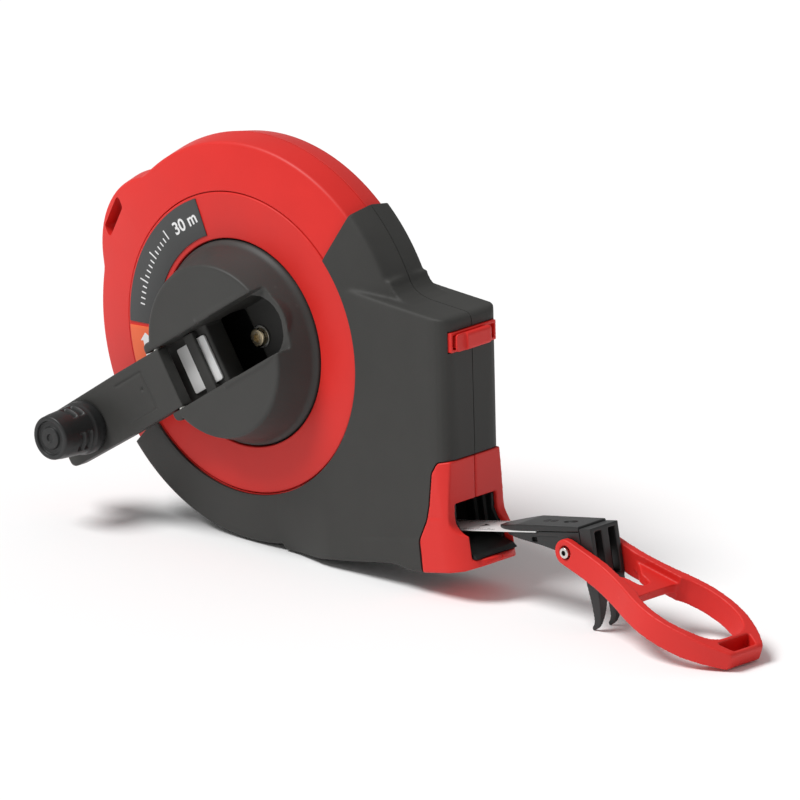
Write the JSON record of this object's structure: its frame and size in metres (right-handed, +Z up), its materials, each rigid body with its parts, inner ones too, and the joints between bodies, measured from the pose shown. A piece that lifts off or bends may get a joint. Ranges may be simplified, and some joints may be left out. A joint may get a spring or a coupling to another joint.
{
  "type": "surveyor tape reel",
  "caption": "Closed-case surveying tape reel: flat round case with a squared front, folding crank and knob, lock slide, tape outlet, clawed hook block and pull handle.",
  "frame": {"origin": "on the surface the reel rests on, below the middle of its outline", "axes": "+Z up, the reel axis along Y with the crank on the -Y side, +X towards the pull handle"},
  "size_m": [0.2712, 0.0596, 0.131],
  "materials": {
    "red_plastic": "fine satin texture",
    "dark_plastic": "matt, soft rubberised skin",
    "black_plastic": "satin moulded",
    "dark_label": "printed satin film",
    "orange_label": "printed satin film",
    "tape": "matt white lacquer with black marks",
    "white_acetal": "smooth",
    "steel": "plated",
    "yellow_zinc": "yellow zinc plated"
  },
  "bodies": {
    "case": {"case_left": "red_plastic", "case_right": "red_plastic", "jacket_left": "dark_plastic", "jacket_right": "dark_plastic", "nose_left": "red_plastic", "nose_right": "red_plastic", "mouth_liner": "black_plastic", "ring_plate_left": "red_plastic", "side_disc_right": "red_plastic", "label_dark": "dark_label", "label_orange": "orange_label", "lock_tray": "red_plastic", "journal_bush": "white_acetal", "case_screw_1": "steel", "case_screw_2": "steel", "case_screw_3": "steel", "case_screw_4": "steel", "case_screw_5": "steel"},
    "lock": {"lock_slider": "red_plastic", "lock_stem": "black_plastic"},
    "reel": {"spool_core": "black_plastic", "flange_left": "black_plastic", "flange_right": "black_plastic", "tape_coil": "tape", "crank_hub": "dark_plastic", "detent_leaf": "white_acetal", "hub_bridge": "dark_plastic", "hub_screw": "yellow_zinc", "hub_washer": "steel", "hinge_pin": "steel"},
    "crank": {"crank_arm": "dark_plastic", "knob_spindle": "steel"},
    "knob_body": {"knob": "black_plastic"},
    "tape_end": {"tape_strip": "tape", "hook_block_upper": "black_plastic", "hook_block_lower": "black_plastic", "claw_plate": "black_plastic", "handle_rivet": "steel"},
    "handle": {"pull_handle": "red_plastic"}
  },
  "joints": [
    {"name": "reel_spin", "type": "hinge", "parent": "case", "child": "reel", "pos_m": [-0.06654, 0.0136, 0.06601], "axis": [0, -1, 0], "continuous": true},
    {"name": "tape_slide", "type": "slide", "parent": "case", "child": "tape_end", "axis": [0.9816, 0, 0.1908], "range_m": [-0.0295, 0.0447]},
    {"name": "crank_fold", "type": "hinge", "parent": "reel", "child": "crank", "pos_m": [-0.08678, -0.01, 0.05256], "axis": [-0.5534, 0, 0.8329], "range_deg": [0, 180]},
    {"name": "knob_spin", "type": "hinge", "parent": "crank", "child": "knob_body", "pos_m": [-0.12001, -0.0214, 0.03048], "axis": [0, -1, 0], "continuous": true},
    {"name": "lock_slide", "type": "slide", "parent": "case", "child": "lock", "axis": [0, 1, 0], "range_m": [0, 0.003]},
    {"name": "handle_swing", "type": "hinge", "parent": "tape_end", "child": "handle", "pos_m": [0.06664, 0.0136, 0.02496], "axis": [0, -1, 0], "range_deg": [-20, 110]}
  ],
  "couplings": [
    {"joint": "reel_spin", "follows": "tape_slide", "rad_per_m": 16.667}
  ]
}
